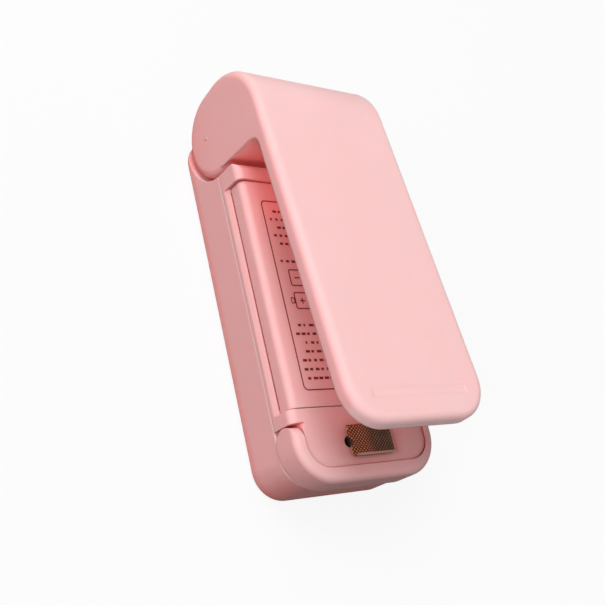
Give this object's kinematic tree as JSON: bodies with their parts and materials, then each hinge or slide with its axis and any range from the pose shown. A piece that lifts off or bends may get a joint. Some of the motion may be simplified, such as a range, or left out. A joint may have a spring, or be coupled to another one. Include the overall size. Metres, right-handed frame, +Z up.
{
  "type": "mini bag sealer",
  "caption": "Hand-held battery bag sealer: a sprung lever on a rear hinge presses a bag on to a tape-covered heated strip behind a flip-up safety cover, above a lift-off battery cover.",
  "frame": {"origin": "on the surface it stands on, below the middle of its length and width", "axes": "+Z up, +Y from the heater to the lever's hinge, +X to the right seen from the heater end"},
  "size_m": [0.0412, 0.1054, 0.0421],
  "materials": {
    "shell": "pale pink moulded plastic, satin",
    "silicone": "off-white silicone",
    "steel": "plain steel wire, pin and screws",
    "nickel": "nickel-plated spring steel and heating ribbon",
    "carrier": "dark heat-proof moulding",
    "heat_board": "heat-proof board",
    "coated_tape": "brown coated woven glass tape",
    "switch_housing": "black moulding",
    "switch_button": "red moulding",
    "terminal": "tinned brass",
    "cell": "dark film over the can, bare metal ends",
    "red_lead": "red insulation",
    "black_lead": "black insulation"
  },
  "bodies": {
    "case": {"lower_case": "shell", "upper_case": "shell", "lever_spring": "steel", "carrier_springs": "steel", "switch_body": "switch_housing", "switch_terminals": "terminal", "battery_cells": "cell", "series_link": "nickel", "positive_contact": "nickel", "negative_contact": "nickel", "contact_springs": "nickel", "battery_lead": "red_lead", "heater_lead": "black_lead", "return_lead": "black_lead", "case_screws": "steel"},
    "lever_arm": {"lever": "shell", "press_pad": "silicone", "hinge_pin": "steel"},
    "safety_cover": {"safety_cover": "shell"},
    "battery_cover": {"battery_cover": "shell"},
    "heater": {"heater_carrier": "carrier", "heater_plate": "heat_board", "heating_ribbon": "nickel", "release_tape": "coated_tape"},
    "plunger": {"switch_plunger": "switch_button"}
  },
  "joints": [
    {"name": "lever_hinge", "type": "hinge", "parent": "case", "child": "lever_arm", "pos_m": [0, 0.04064, 0.0141], "axis": [-1, 0, 0], "range_deg": [-10, 75], "stiffness_Nm_per_rad": 1, "springref_deg": 0.38, "deforming": ["lever_spring"]},
    {"name": "safety_cover_hinge", "type": "hinge", "parent": "case", "child": "safety_cover", "pos_m": [0, -0.04236, 0.0171], "axis": [-1, 0, 0], "range_deg": [0, 90]},
    {"name": "battery_cover_lift", "type": "slide", "parent": "case", "child": "battery_cover", "axis": [0, 0, 1], "range_m": [0, 0.008]},
    {"name": "heater_slide", "type": "slide", "parent": "case", "child": "heater", "axis": [0, 0, 1], "range_m": [-0.0006, 0], "stiffness_N_per_m": 2000, "springref_m": 0.0005, "deforming": ["carrier_springs", "heater_lead", "return_lead"]},
    {"name": "switch_plunger_slide", "type": "slide", "parent": "case", "child": "plunger", "axis": [0, 0, 1], "range_m": [-0.00025, 0], "stiffness_N_per_m": 3000, "springref_m": 0.0003}
  ]
}
